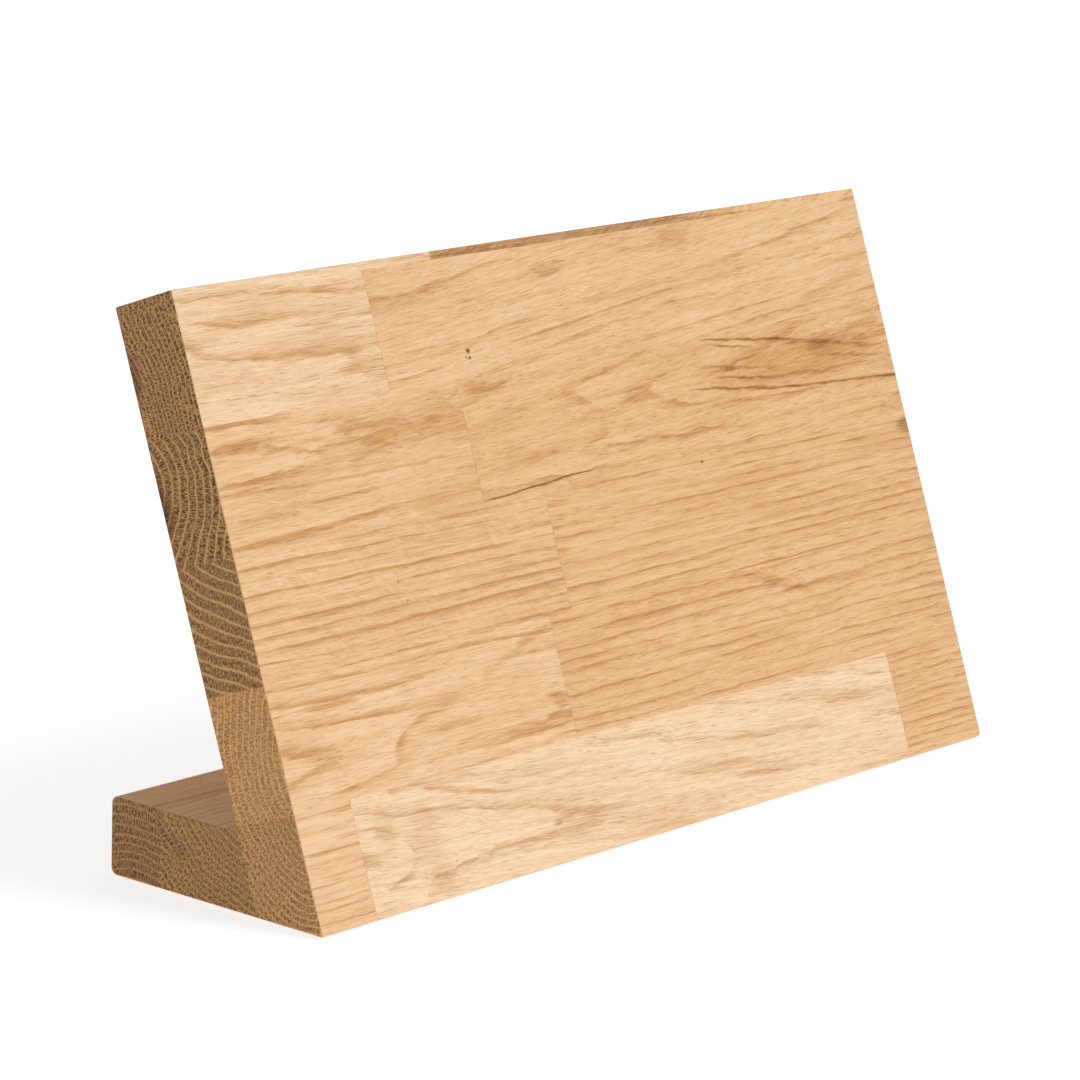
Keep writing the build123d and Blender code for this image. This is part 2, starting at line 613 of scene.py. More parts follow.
@dataclass(frozen=True)
class SawnEnd:
    """How a sawn end shows the growth: where its light lines lie, and what each pattern adds."""

    line_start: tuple[float, float] = (0.0, 0.06)
    line_end: tuple[float, float] = (0.30, 0.14)
    line: float = 0.75
    speck_line: float = 0.25
    late_wood: tuple[float, float] = (0.15, 0.4)
    pore: float = 0.6
    late_pore: float = 0.32
    speck_edge: tuple[float, float] = (0.50, 0.62)
    speck_shade: float = 0.06
    speck: float = 0.42
    ray: float = 0.2
    stain: float = 0.55
    pore_stain: float = 0.45
    stain_waver: float = 0.5

    def build(self, s: Shader, growth: Growth, flat: Value, oak: "Oak") -> tuple[Value, Value]:
        """Builds the end.

        Args:
            s: The shader.
            growth: The stave's growth.
            flat: Millimetres across, behind the face and below the edge.
            oak: The stave's own oak.

        Returns:
            Its colour, and the light lines between its rings.
        """
        middle, dark, light = (
            tuple(part * oak.end_shade for part in colour)
            for colour in (END_MIDDLE, END_DARK, END_LIGHT)
        )
        line = s.ramp(growth.part, *self.line_start) * s.ramp(growth.part, *self.line_end)
        late = s.ramp(growth.part, *self.late_wood)
        speck = s.ramp(growth.fibre - growth.chains * self.speck_shade, *self.speck_edge)
        pores = growth.chains * ((self.pore + late * self.late_pore) * oak.end_pores)
        lines = line * oak.end_lines * (self.line + speck * self.speck_line)
        colour = s.mix(pores, middle, dark)
        colour = s.mix(speck * self.speck, colour, light)
        colour = s.mix(lines, colour, light)
        colour = s.mix(growth.ray * self.ray, colour, light)
        _, behind, down = s.split(flat)
        waver = (growth.chains - 0.5) * self.stain_waver
        soaked = self.stain + growth.chains * self.pore_stain
        for mark in oak.end_marks:
            depth = mark.strength_at(s, behind, down, waver) * soaked
            colour = s.stained(depth, colour, mark.stain)
        return colour, line


@dataclass(frozen=True)
class Relief:
    """How oak's surface stands up and is sunk, and how dull each part of it is."""

    fibre: float = 0.8
    pore: float = 0.7
    chains: float = -1.0
    line: float = 0.4
    strength: float = 0.6
    distance: float = 0.2 * MM
    rough: float = 0.5
    rough_pore: float = 0.12
    rough_fibre: float = 0.3
    rough_end: float = 0.15

    def bump(self, s: Shader, growth: Growth, pores: Value, lines: Value, is_end: Value) -> Value:
        """The surface's unevenness.

        Args:
            s: The shader.
            growth: The stave's growth.
            pores: How deep the face's pores are cut.
            lines: The light lines between the sawn end's rings.
            is_end: 1 on the sawn end and 0 on the face.

        Returns:
            A normal.
        """
        face = growth.fibre * self.fibre - pores * self.pore
        end = growth.chains * self.chains + lines * self.line
        height = face * (1.0 - is_end) + end * is_end
        inputs = {"Strength": self.strength, "Distance": self.distance, "Height": height}
        return s.node("ShaderNodeBump", {}, inputs)

    def roughness(self, growth: Growth, pores: Value, is_end: Value) -> Value:
        """How dull the surface is, from its pores, its fibres and where it is sawn."""
        fibres = (growth.fibre - 0.5) * self.rough_fibre
        return self.rough + pores * self.rough_pore + fibres + is_end * self.rough_end


MARK_DEPTH = (9.0, 5.0)  # millimetres behind the face over which a mark fades
MARK_WAVER = Waves((0.09, 0.5, 1.0), 1.0, 3.0, 0.6)
MARK_STRENGTH = 0.45
MARK_FIBRE = 1.1
JOINT_WIDTH = (0.5, 0.1)
JOINT_BREAKS = Waves((0.1, 0.5, 0.5), 1.0)
JOINT_BREAK_EDGE = (0.35, 0.6)
JOINT_STRENGTH = 0.32


@dataclass(frozen=True)
class Oak:
    """Oak as one stave shows it, cut from its own place in its own tree.

    The growth rings are round the pith, a line that runs nearly along the stave.

    Attributes:
        pith: Its place at the stave's left end: millimetres behind the face and below the edge.
        ring_gap: Millimetres from one ring to the next.
        tone: How dark the planed face is.
        rise: How far the pith swings sideways along the stave, in degrees.
        dive: How far it leans out through the stave, in degrees.
        wander: How far the rings stray from true rounds, in millimetres.
        contrast: How strongly the rings show on the face.
        end_shade: How light the sawn end is.
        end_lines: How strongly the light lines show on the sawn end.
        end_pores: How strongly its pores show.
        cross_figure: How strongly the slanting figure shows on the face.
        polish: How much the surface shines.
        seed: The stave's own place in every noise.
        swells: Bulges in its rings.
        marks: Stains on its face.
        end_marks: Stains on its sawn end.
    """

    pith: tuple[float, float]
    ring_gap: float
    tone: Tone = Tone.WARM
    rise: float = 0.0
    dive: float = 0.0
    wander: float = 2.0
    contrast: float = 1.0
    end_shade: float = 1.0
    end_lines: float = 0.85
    end_pores: float = 1.0
    cross_figure: float = 0.0
    polish: float = 0.15
    seed: float = 0.0
    swells: tuple[Swell, ...] = ()
    marks: tuple[Streak | Knot, ...] = ()
    end_marks: tuple[Streak | Knot, ...] = ()

    def material(
        self, name: str, left_end: Vector, length: float, edge: PanelEdge
    ) -> bpy.types.Material:
        """Builds the stave's own oak.

        Args:
            name: The material's name.
            left_end: The middle of the stave's left end, in millimetres in the rack's frame.
            length: The stave's length in millimetres.
            edge: The edge that the panel's distances are measured from.

        Returns:
            The material.
        """
        s = Shader(name)
        coordinates = s.node("ShaderNodeTexCoord", output="Object")
        normal_x, _, _ = s.split(s.node("ShaderNodeNewGeometry", output="Normal"))
        is_end = s.ramp(abs(normal_x), *END_FACING)
        flat = edge.flattened(s, coordinates)
        out = self.from_pith(left_end, edge)
        wood = self.along_pith(s, coordinates, left_end, edge)
        growth = self.growth(s, wood, flat, is_end, out.length)
        face, pores = PlanedFace().build(s, growth, self)
        start = left_end.x - edge.left
        face = self.jointed(s, self.marked(s, face, flat, growth), flat, (start, start + length))
        end, lines = SawnEnd().build(s, growth, flat, self)
        relief = Relief()
        return s.finish(
            Base_Color=s.mix(is_end, face, end),
            Roughness=relief.roughness(growth, pores, is_end),
            Normal=relief.bump(s, growth, pores, lines, is_end),
            Specular_IOR_Level=self.polish,
        )

    def from_pith(self, left_end: Vector, edge: PanelEdge) -> Vector:
        """From the pith to the middle of the stave's left end: 0, behind and up, in millimetres."""
        behind, down = edge.distances(left_end)
        return Vector((0.0, behind - self.pith[0], self.pith[1] - down))

    def along_pith(
        self, s: Shader, coordinates: Value, left_end: Vector, edge: PanelEdge
    ) -> Value:
        """Turns the rack's coordinates so that x runs along the pith and y out through the stave.

        Args:
            s: The shader.
            coordinates: Object coordinates, in metres.
            left_end: The middle of the stave's left end, in millimetres.
            edge: The edge that the pith's place is measured from.

        Returns:
            Coordinates in millimetres from the pith.
        """
        out = self.from_pith(left_end, edge)
        facing = math.atan2(out.z, out.y)
        turn = Euler((edge.lean - facing, math.radians(self.rise), math.radians(self.dive)), "XYZ")
        shift = Vector((0.0, out.length, 0.0)) - turn.to_matrix() @ left_end
        return s.placed(coordinates, turn, shift)

    def growth(
        self, s: Shader, wood: Value, flat: Value, is_end: Value, distance: float
    ) -> Growth:
        """The patterns that the tree's growth leaves all through the stave.

        Args:
            s: The shader.
            wood: Millimetres from the pith.
            flat: Millimetres across, behind the face and below the edge.
            is_end: 1 on the sawn end and 0 on the face.
            distance: From the pith to the middle of the stave.

        Returns:
            The patterns.
        """
        x, y, z = s.split(wood)
        seed = self.seed
        bend_y, bend_z, luck = s.split(LONG_BEND.read(s, (x, y, z), (seed, 0, 0), "Color"))
        short_bend = SHORT_BEND.read(s, (x, y, z), (0, 0, seed)) - 0.5
        y1 = y + ((bend_y - 0.5) * LONG_BEND_SIZE[0] + short_bend) * self.wander
        z1 = z + ((bend_z - 0.5) * LONG_BEND_SIZE[1] - short_bend) * self.wander
        radius = (y1 * y1 + z1 * z1) ** 0.5
        ripple = RIPPLE.read(s, (x, y, z), (0, seed, 0)) - 0.5
        lifted = radius + ripple * (FACE_RIPPLE + is_end * END_RIPPLE)
        across, behind, down = s.split(flat)
        for swell in self.swells:
            lifted = lifted + swell.lift(s, across, down) * s.ramp(behind, *SWELL_DEPTH)
        part = s.maths("FRACT", lifted / self.ring_gap + (luck - 0.5) * RING_LUCK)
        early = s.ramp(part, *EARLY_WOOD) + s.ramp(part, *EARLY_WOOD_START)
        edge = s.ramp(part, *RING_EDGE) + s.ramp(part, *RING_EDGE_START)
        strength = RING_STRENGTH.read(s, (x, y, z), (-seed, 0, 0))

        arc = s.maths("ARCTAN2", z1, y1) * distance
        cross = s.join(
            x * CROSS_ACROSS[0] + z1 * CROSS_ACROSS[1],
            x * CROSS_ALONG[0] - z1 * CROSS_ALONG[1],
            y1 * CROSS_DEPTH,
        )
        return Growth(
            early=s.clamp(early) * s.ramp(strength, *WEAK_TO_STRONG),
            edge=s.clamp(edge) * s.ramp(strength, *WEAK_TO_STRONG_EDGE),
            streak=STREAKS.read(s, (x, y1, z1), (0, 0, seed)),
            fibre=FIBRES.read(s, (x, y1, z1), (seed, 0, 0)),
            blotch=BLOTCHES.read(s, (x, y, z), (0, 0, -seed)),
            dash=DASHES.read(s, (x, y1, z1), (0, seed, 0)),
            chains=s.ramp(CELLS.read(s, (x, arc, radius), (0, 0, seed)), *CELL_WALL),
            ray=s.ramp(RAYS.read(s, (x, arc, radius)), *RAY_EDGE),
            part=part,
            cross=s.noise(cross, scale=1.0, detail=1.0),
        )

    def marked(self, s: Shader, colour: Value, flat: Value, growth: Growth) -> Value:
        """Adds the stave's own knots and streaks.

        Args:
            s: The shader.
            colour: The oak without them.
            flat: Millimetres across from the left end, behind the face and below the top edge.
            growth: The stave's growth, which breaks them up.

        Returns:
            The oak with them.
        """
        if not self.marks:
            return colour
        across, behind, down = s.split(flat)
        waver = MARK_WAVER.read(s, (across, down, self.seed)) - 0.5
        near_face = s.ramp(behind, *MARK_DEPTH) * (MARK_STRENGTH + growth.fibre * MARK_FIBRE)
        for mark in self.marks:
            depth = mark.strength_at(s, across, down, waver) * near_face
            colour = s.stained(s.clamp(depth), colour, mark.stain)
        return colour

    def jointed(
        self, s: Shader, colour: Value, flat: Value, span: tuple[float, float]
    ) -> Value:
        """Adds the thin dark line where the stave meets the next one end to end.

        Args:
            s: The shader.
            colour: The oak without it.
            flat: Millimetres across from the left end, behind the face and below the top edge.
            span: Where the stave starts and stops, in millimetres from the left end.

        Returns:
            The oak with the line.
        """
        across, behind, down = s.split(flat)
        near = s.maths("MINIMUM", across - span[0], span[1] - across)
        breaks = s.ramp(JOINT_BREAKS.read(s, (across, behind, down)), *JOINT_BREAK_EDGE)
        line = s.ramp(near, *JOINT_WIDTH) * breaks
        return s.stained(line * JOINT_STRENGTH, colour, STAIN)


@dataclass(frozen=True)
class Plain:
    """A finish with one colour and a fine grain of its own, for metal, rubber and bare wood."""

    name: str
    colour: Colour
    metallic: float
    roughness: float
    grain: float
    grain_stretch: float
    bump: float
    wear_scale: float = 60.0
    worn: tuple[float, float] = (0.35, 0.75)
    worn_shade: float = 0.72
    grain_roughness: float = 0.2
    wear_roughness: float = 0.1
    bump_strength: float = 0.4

    def material(self) -> bpy.types.Material:
        """Builds the finish.

        Returns:
            The material.
        """
        s = Shader(self.name)
        place = s.node("ShaderNodeTexCoord", output="Object")
        x, y, z = s.split(place)
        stretched = s.join(x * self.grain_stretch, y, z)
        grain = s.noise(stretched, self.grain, detail=3.0, rough=0.6)
        wear = s.noise(place, self.wear_scale)
        dull = tuple(part * self.worn_shade for part in self.colour)
        wear_shift = (wear - 0.5) * self.wear_roughness
        inputs = {"Strength": self.bump_strength, "Distance": self.bump, "Height": grain}
        return s.finish(
            Base_Color=s.mix(s.ramp(wear, *self.worn), self.colour, dull),
            Roughness=self.roughness + (grain - 0.5) * self.grain_roughness + wear_shift,
            Metallic=self.metallic,
            Normal=s.node("ShaderNodeBump", {}, inputs),
        )


NICKEL = Plain(
    "nickel_plate",
    from_srgb(214, 210, 200),
    metallic=1.0,
    roughness=0.22,
    grain=900.0,
    grain_stretch=1.0,
    bump=0.02 * MM,
)
ZINC = Plain(
    "zinc_plate",
    from_srgb(168, 172, 176),
    metallic=1.0,
    roughness=0.38,
    grain=1500.0,
    grain_stretch=0.08,
    bump=0.03 * MM,
)
RUBBER = Plain(
    "black_rubber",
    from_srgb(38, 38, 38),
    metallic=0.0,
    roughness=0.78,
    grain=2500.0,
    grain_stretch=1.0,
    bump=0.06 * MM,
)
BEECH = Plain(
    "bare_beech",
    from_srgb(214, 176, 132),
    metallic=0.0,
    roughness=0.62,
    grain=1800.0,
    grain_stretch=0.3,
    bump=0.05 * MM,
)


class Layout(Enum):
    """How a repeated piece is set out."""

    LINE = "line"
    CORNERS = "corners"


@dataclass
class SetOut:
    """Sets copies of one piece out with Geometry Nodes and hands back one plain mesh."""

    name: str
    layout: Layout
    count: int
    pitch_x: float
    pitch_y: float = 0.0

    def tree(self, material: bpy.types.Material) -> bpy.types.NodeTree:
        """Builds the node tree.

        Args:
            material: What every copy is made of.

        Returns:
            The tree, with its sizes as named inputs.
        """
        tree = bpy.data.node_groups.new(self.name, "GeometryNodeTree")
        tree.interface.new_socket("Geometry", in_out="INPUT", socket_type="NodeSocketGeometry")
        for label, kind in (("Count", "Int"), ("Pitch X", "Float"), ("Pitch Y", "Float")):
            tree.interface.new_socket(label, in_out="INPUT", socket_type=f"NodeSocket{kind}")
        tree.interface.new_socket("Geometry", in_out="OUTPUT", socket_type="NodeSocketGeometry")

        def add(
            kind: str, links: dict[str, bpy.types.NodeSocket], **settings: Any
        ) -> bpy.types.Node:
            """Adds one node, with its settings, and joins its inputs."""
            node = tree.nodes.new(kind)
            for key, value in settings.items():
                setattr(node, key, value)
            for key, socket in links.items():
                tree.links.new(socket, node.inputs[key])
            return node

        sizes = add("NodeGroupInput", {}).outputs
        if self.layout is Layout.LINE:
            step = add("ShaderNodeCombineXYZ", {"X": sizes["Pitch X"]}).outputs[0]
            spots = add(
                "GeometryNodeMeshLine", {"Count": sizes["Count"], "Offset": step}, mode="OFFSET"
            )
        else:
            spots = add(
                "GeometryNodeMeshGrid", {"Size X": sizes["Pitch X"], "Size Y": sizes["Pitch Y"]}
            )
            for side in ("Vertices X", "Vertices Y"):
                spots.inputs[side].default_value = 2
        copies = add(
            "GeometryNodeInstanceOnPoints",
            {"Points": spots.outputs[0], "Instance": sizes["Geometry"]},
        )
        solid = add("GeometryNodeRealizeInstances", {"Geometry": copies.outputs[0]})
        dressed = add("GeometryNodeSetMaterial", {"Geometry": solid.outputs[0]})
        dressed.inputs["Material"].default_value = material
        add("NodeGroupOutput", {"Geometry": dressed.outputs[0]})
        return tree

    def make(
        self, pattern: bpy.types.Mesh, place: Matrix, material: bpy.types.Material
    ) -> bpy.types.Object:
        """Sets the copies out.

        Args:
            pattern: One piece, about its own middle.
            place: From the first copy's own frame, or the middle of the corners, to the rack's.
            material: What every copy is made of.

        Returns:
            One object at the origin with every copy in its mesh.
        """
        maker = bpy.data.objects.new(self.name, pattern)
        bpy.context.scene.collection.objects.link(maker)
        modifier = maker.modifiers.new(self.name, "NODES")
        modifier.node_group = self.tree(material)
        sizes = {"Count": self.count, "Pitch X": self.pitch_x, "Pitch Y": self.pitch_y}
        for item in modifier.node_group.interface.items_tree:
            if item.name in sizes:
                modifier[item.identifier] = sizes[item.name]
        bpy.context.view_layer.update()
        ready = maker.evaluated_get(bpy.context.evaluated_depsgraph_get())
        mesh = bpy.data.meshes.new_from_object(ready)
        maker.modifiers.remove(modifier)
        maker.data = mesh
        mesh.transform(place)
        mesh.update()
        return maker


SHARP_EDGE = math.radians(35)


def mesh_of(name: str, build: bmesh.types.BMesh) -> bpy.types.Mesh:
    """Ends a bmesh as a mesh that is shaded smooth but for its sharp edges.

    Args:
        name: The mesh's name.
        build: The shape, which is freed.

    Returns:
        The mesh.
    """
    mesh = bpy.data.meshes.new(name)
    build.to_mesh(mesh)
    build.free()
    for polygon in mesh.polygons:
        polygon.use_smooth = True
    mesh.set_sharp_from_angle(angle=SHARP_EDGE)
    return mesh


def middle_of(node: str) -> Vector:
    """The middle of a CAD node's box, in metres."""
    low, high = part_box(node)
    return (Vector(low) + Vector(high)) / 2


def lathe(
    profile: Sequence[tuple[float, float]], steps: int, flute: float = 0.0
) -> bmesh.types.BMesh:
    """Turns a profile about the z axis.

    Args:
        profile: Pairs of a radius and a height, from the bottom's middle to the top's.
        steps: How many faces go round.
        flute: How much shallower every second step is, for a fluted piece.

    Returns:
        The closed shape.
    """
    shape = bmesh.new()
    rings: list[list[bmesh.types.BMVert]] = []
    for radius, height in profile:
        if radius == 0:
            rings.append([shape.verts.new((0.0, 0.0, height))])
            continue
        ring = []
        for i in range(steps):
            turn = 2 * math.pi * i / steps
            out = radius - (flute if i % 2 else 0.0)
            ring.append(shape.verts.new((out * math.cos(turn), out * math.sin(turn), height)))
        rings.append(ring)
    for low, high in zip(rings, rings[1:]):
        for i in range(steps):
            j = (i + 1) % steps
            if len(low) == 1:
                shape.faces.new((low[0], high[j], high[i]))
            elif len(high) == 1:
                shape.faces.new((low[i], low[j], high[0]))
            else:
                shape.faces.new((low[i], low[j], high[j], high[i]))
    bmesh.ops.recalc_face_normals(shape, faces=shape.faces)
    return shape


@dataclass
class GluedPanel:
    """A panel of oak staves glued side by side and end to end."""

    edge: PanelEdge
    staves: dict[str, Oak]

    def dress(self) -> list[bpy.types.Object]:
        """Gives every stave its own oak.

        Returns:
            The staves.
        """
        dressed = []
        for node, oak in self.staves.items():
            stave = frame["nodes"][node]
            low, high = (Vector(corner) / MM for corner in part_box(node))
            left_end = Vector((low.x, (low.y + high.y) / 2, (low.z + high.z) / 2))
            finish = oak.material(f"oak_{node}", left_end, high.x - low.x, self.edge)
            stave.data.materials.clear()
            stave.data.materials.append(finish)
            dressed.append(stave)
        return dressed


@dataclass
class MagnetRow:
    """One row of block magnets with its steel strip, in a groove in the back of the board."""

    name: str
    length: float = 30 * MM
    width: float = 20 * MM
    thickness: float = 6 * MM
    corner: float = 0.25 * MM

    def nodes(self) -> list[str]:
        """The CAD nodes of this row's magnets, from the left."""
        names = [n for n in frame["nodes"] if n.startswith(f"magnet_{self.name}_")]
        return sorted(names, key=lambda n: middle_of(n).x)

    def block(self) -> bpy.types.Mesh:
        """One magnet with its corners tumbled round.

        Returns:
            Its mesh, about its own middle.
        """
        shape = bmesh.new()
        bmesh.ops.create_cube(shape, size=1.0)
        bmesh.ops.scale(shape, vec=(self.length, self.width, self.thickness), verts=shape.verts)
        bmesh.ops.bevel(
            shape, geom=shape.edges[:], offset=self.corner, segments=3, affect="EDGES", profile=0.5
        )
        return mesh_of(f"{self.name}_magnet", shape)

    def build(self) -> list[bpy.types.Object]:
        """Makes the magnets and dresses the strip.

        Returns:
            The row of magnets and the steel strip.
        """
        nodes = self.nodes()
        first, last = middle_of(nodes[0]), middle_of(nodes[-1])
        row = SetOut(
            f"magnets_{self.name}", Layout.LINE, len(nodes), (last.x - first.x) / (len(nodes) - 1)
        )
        square_to_board = Matrix.Rotation(math.pi / 2 - LEAN, 4, "X")
        place = Matrix.Translation(first) @ square_to_board
        magnets = row.make(self.block(), place, NICKEL.material())
        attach(magnets, BODY)
        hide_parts(*nodes)
        strip = frame["nodes"][f"steel_strip_{self.name}"]
        strip.data.materials.clear()
        strip.data.materials.append(ZINC.material())
        return [magnets, strip]


@dataclass
class FootDowels:
    """The fluted dowels that pin the foot to the board."""

    radius: float = 4 * MM
    flute_depth: float = 0.4 * MM
    flutes: int = 12
    length: float = 34 * MM
    chamfer: float = 1 * MM

    def build(self) -> list[bpy.types.Object]:
        """Makes the dowels.

        Returns:
            One object that holds them all.
        """
        nodes = sorted(n for n in frame["nodes"] if n.startswith("foot_dowel_"))
        half = self.length / 2
        tip = self.radius - self.chamfer
        profile = [
            (0.0, -half),
            (tip, -half),
            (self.radius, self.chamfer - half),
            (self.radius, half - self.chamfer),
            (tip, half),
            (0.0, half),
        ]
        pattern = mesh_of("dowel", lathe(profile, 2 * self.flutes, self.flute_depth))
        first, last = middle_of(nodes[0]), middle_of(nodes[-1])
        row = SetOut("foot_dowels", Layout.LINE, len(nodes), (last.x - first.x) / (len(nodes) - 1))
        along_depth = Matrix.Rotation(-math.pi / 2 - LEAN, 4, "X")
        dowels = row.make(pattern, Matrix.Translation(first) @ along_depth, BEECH.material())
        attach(dowels, BODY)
        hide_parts(*nodes)
        return [dowels]


@dataclass
class Pads:
    """The four round rubber pads under the rack, each with a few round grooves underneath.

    The grooves' places are shares of the pad's radius.
    """

    lip: float = 0.3 * MM
    lip_round: float = 0.3
    grooves: tuple[float, ...] = (0.25, 0.45, 0.65, 0.82)
    groove_half: float = 0.03
    groove_depth: float = 0.2 * MM
    sides: int = 48

    def build(self) -> list[bpy.types.Object]:
        """Makes the pads.

        Returns:
            One object that holds all four.
        """
        nodes = sorted(n for n in frame["nodes"] if n.startswith("pad_"))
        low, high = (Vector(corner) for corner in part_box("pad_front_left"))
        radius = (high.x - low.x) / 2
        height = high.z - low.z
        profile = [(0.0, 0.0)]
        for groove in self.grooves:
            profile += [
                (radius * groove, 0.0),
                (radius * (groove + self.groove_half), self.groove_depth),
                (radius * (groove + 2 * self.groove_half), 0.0),
            ]
        profile += [
            (radius - self.lip, 0.0),
            (radius - self.lip * self.lip_round, self.lip * self.lip_round),
            (radius, self.lip),
            (radius, height),
            (0.0, height),
        ]
        pattern = mesh_of("pad", lathe(profile, self.sides))
        centres = [middle_of(node) for node in nodes]
        low_corner = Vector(min(c[i] for c in centres) for i in range(3))
        high_corner = Vector(max(c[i] for c in centres) for i in range(3))
        middle = (low_corner + high_corner) / 2
        middle.z = low.z
        span = high_corner - low_corner
        corners = SetOut("non_slip_pads", Layout.CORNERS, len(nodes), span.x, span.y)
        pads = corners.make(pattern, Matrix.Translation(middle), RUBBER.material())
        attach(pads, BODY)
        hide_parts(*nodes)
        return [pads]


WHITE = (1.0, 1.0, 1.0, 1.0)


@dataclass
class Studio:
    """A plain pale floor and backdrop, soft lights, and the camera."""

    eye: Vector = Vector((-1332.9, -1109.0, 497.8)) * MM
    aim: Vector = Vector((-11.35, 11.41, 105.37)) * MM
    roll: float = math.radians(1.92)
    lens: float = 153.04
    sensor: float = 36.0
    toward_light: Vector = Vector((0.36, -0.62, 0.70))
    light_spread: float = math.radians(30.0)
    front_light: float = 1.9
    room_light: float = 0.52
    floor_radii: tuple[float, float] = (3.0, 9.0)
    floor_sides: int = 96
    floor_grey: float = 0.4
    floor_glow: float = 0.72

    def floor(self) -> None:
        """A wide plain white floor with a little light of its own, so that shadows stay pale."""
        inner, outer = self.floor_radii
        shape = lathe([(0.0, 0.0), (inner, 0.0), (outer, 0.0)], self.floor_sides)
        mesh = bpy.data.meshes.new("floor")
        shape.to_mesh(mesh)
        shape.free()
        floor = bpy.data.objects.new("floor", mesh)
        bpy.context.scene.collection.objects.link(floor)
        finish = Shader("pale_floor").finish(
            Base_Color=(self.floor_grey, self.floor_grey, self.floor_grey, 1.0),
            Roughness=1.0,
            Specular_IOR_Level=0.0,
            Emission_Color=WHITE,
            Emission_Strength=self.floor_glow,
        )
        mesh.materials.append(finish)

    def lights(self) -> None:
        """One broad soft light from the front right, and the white room round it."""
        data = bpy.data.lights.new("front_light", "SUN")
        data.energy = self.front_light
        data.angle = self.light_spread
        lamp = bpy.data.objects.new("front_light", data)
        lamp.rotation_euler = self.toward_light.to_track_quat("Z", "Y").to_euler()
        bpy.context.scene.collection.objects.link(lamp)
        world = bpy.data.worlds.new("white_room")
        world.use_nodes = True
        background = world.node_tree.nodes["Background"]
        background.inputs["Color"].default_value = WHITE
        background.inputs["Strength"].default_value = self.room_light
        bpy.context.scene.world = world
        bpy.context.scene.view_settings.view_transform = "Standard"

    def camera(self) -> None:
        """The camera, level but for a slight roll."""
        data = bpy.data.cameras.new("camera")
        data.lens = self.lens
        data.sensor_width = self.sensor
        camera = bpy.data.objects.new("camera", data)
        bpy.context.scene.collection.objects.link(camera)
        aimed = (self.aim - self.eye).to_track_quat("-Z", "Y").to_matrix().to_4x4()
        rolled = aimed @ Matrix.Rotation(self.roll, 4, "Z")
        camera.matrix_world = Matrix.Translation(self.eye) @ rolled
        bpy.context.scene.camera = camera

    def build(self) -> None:
        """Builds the whole studio."""
        self.floor()
        self.lights()
        self.camera()


def board_edge() -> PanelEdge:
    """The top edge of the board's front face.

    Returns:
        The edge, in millimetres.
    """
    middle = Vector(KNIFE_FACE["pos_m"]) / MM
    low, high = (Vector(corner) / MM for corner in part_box("top_strip_left"))
    rise = (high.z - middle.z) / math.cos(LEAN)
    return PanelEdge(low.x, middle.y + rise * math.sin(LEAN), high.z, LEAN)


def foot_edge() -> PanelEdge:
    """The front of the foot at the level of its top.

    Returns:
        The edge, in millimetres.
    """
    low, high = (Vector(corner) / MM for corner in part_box("foot_front_left"))
    return PanelEdge(low.x, low.y, high.z, 0.0)


